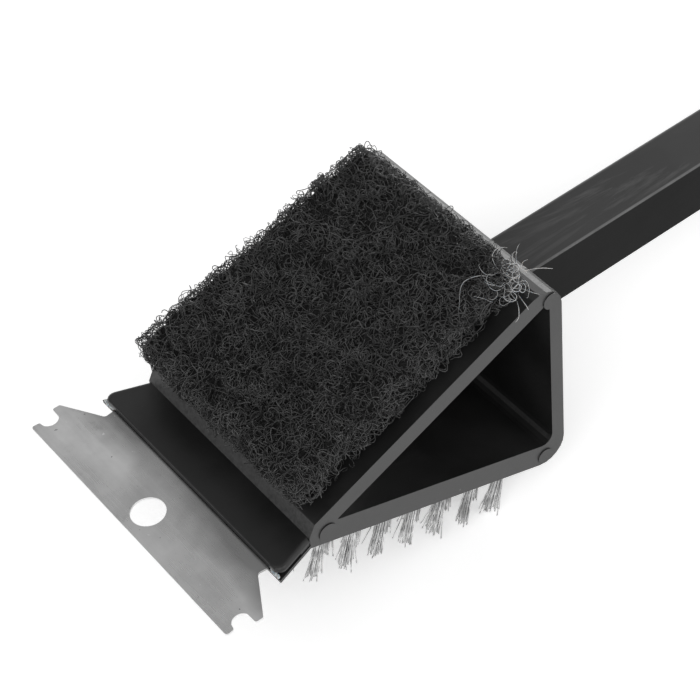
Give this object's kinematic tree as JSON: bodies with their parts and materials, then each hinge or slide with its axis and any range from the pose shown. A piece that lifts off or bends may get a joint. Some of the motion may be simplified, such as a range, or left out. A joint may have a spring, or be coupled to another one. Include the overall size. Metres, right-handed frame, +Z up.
{
  "type": "grill cleaning brush",
  "caption": "Grill brush with a hollow triangular plastic head, scouring pad, rows of steel wire tufts, notched steel scraper blade and long square handle.",
  "frame": {"origin": "bottom centre of the bounding box, with the brush lying on the tips of its rear row of tufts and on the heel of its handle", "axes": "+Z up, +Y along the handle from the scraper to the hanging end, +X to the right seen from the scraper looking along the handle"},
  "size_m": [0.0986, 0.4038, 0.089],
  "materials": {
    "black_plastic": "satin moulded",
    "handle_plastic": "satin moulded",
    "blade_steel": "mill-finish sheet, lightly brushed",
    "bristle_wire": "drawn wire",
    "pad_fibre": "open non-woven fibre web",
    "glue": "translucent hot-melt"
  },
  "bodies": {
    "root": {"head_body": "black_plastic", "handle": "handle_plastic", "scraper_blade": "blade_steel", "scouring_pad": "pad_fibre", "pad_adhesive": "glue", "wire_tuft_c1_r1": "bristle_wire", "wire_tuft_c1_r2": "bristle_wire", "wire_tuft_c1_r3": "bristle_wire", "wire_tuft_c1_r4": "bristle_wire", "wire_tuft_c1_r5": "bristle_wire", "wire_tuft_c1_r6": "bristle_wire", "wire_tuft_c1_r7": "bristle_wire", "wire_tuft_c2_r1": "bristle_wire", "wire_tuft_c2_r2": "bristle_wire", "wire_tuft_c2_r3": "bristle_wire", "wire_tuft_c2_r4": "bristle_wire", "wire_tuft_c2_r5": "bristle_wire", "wire_tuft_c2_r6": "bristle_wire", "wire_tuft_c2_r7": "bristle_wire", "wire_tuft_c3_r1": "bristle_wire", "wire_tuft_c3_r2": "bristle_wire", "wire_tuft_c3_r3": "bristle_wire", "wire_tuft_c3_r4": "bristle_wire", "wire_tuft_c3_r5": "bristle_wire", "wire_tuft_c3_r6": "bristle_wire", "wire_tuft_c3_r7": "bristle_wire", "wire_tuft_c4_r1": "bristle_wire", "wire_tuft_c4_r2": "bristle_wire", "wire_tuft_c4_r3": "bristle_wire", "wire_tuft_c4_r4": "bristle_wire", "wire_tuft_c4_r5": "bristle_wire", "wire_tuft_c4_r6": "bristle_wire", "wire_tuft_c5_r1": "bristle_wire", "wire_tuft_c5_r2": "bristle_wire", "wire_tuft_c5_r3": "bristle_wire", "wire_tuft_c5_r4": "bristle_wire", "wire_tuft_c5_r5": "bristle_wire", "wire_tuft_c5_r6": "bristle_wire", "wire_tuft_c6_r1": "bristle_wire", "wire_tuft_c6_r2": "bristle_wire", "wire_tuft_c6_r3": "bristle_wire", "wire_tuft_c6_r4": "bristle_wire", "wire_tuft_c6_r5": "bristle_wire", "wire_tuft_c6_r6": "bristle_wire", "wire_tuft_c6_r7": "bristle_wire", "wire_tuft_c7_r1": "bristle_wire", "wire_tuft_c7_r2": "bristle_wire", "wire_tuft_c7_r3": "bristle_wire", "wire_tuft_c7_r4": "bristle_wire", "wire_tuft_c7_r5": "bristle_wire", "wire_tuft_c7_r6": "bristle_wire", "wire_tuft_c7_r7": "bristle_wire", "wire_tuft_c8_r1": "bristle_wire", "wire_tuft_c8_r2": "bristle_wire", "wire_tuft_c8_r3": "bristle_wire", "wire_tuft_c8_r4": "bristle_wire", "wire_tuft_c8_r5": "bristle_wire", "wire_tuft_c8_r6": "bristle_wire", "wire_tuft_c8_r7": "bristle_wire"}
  },
  "joints": []
}
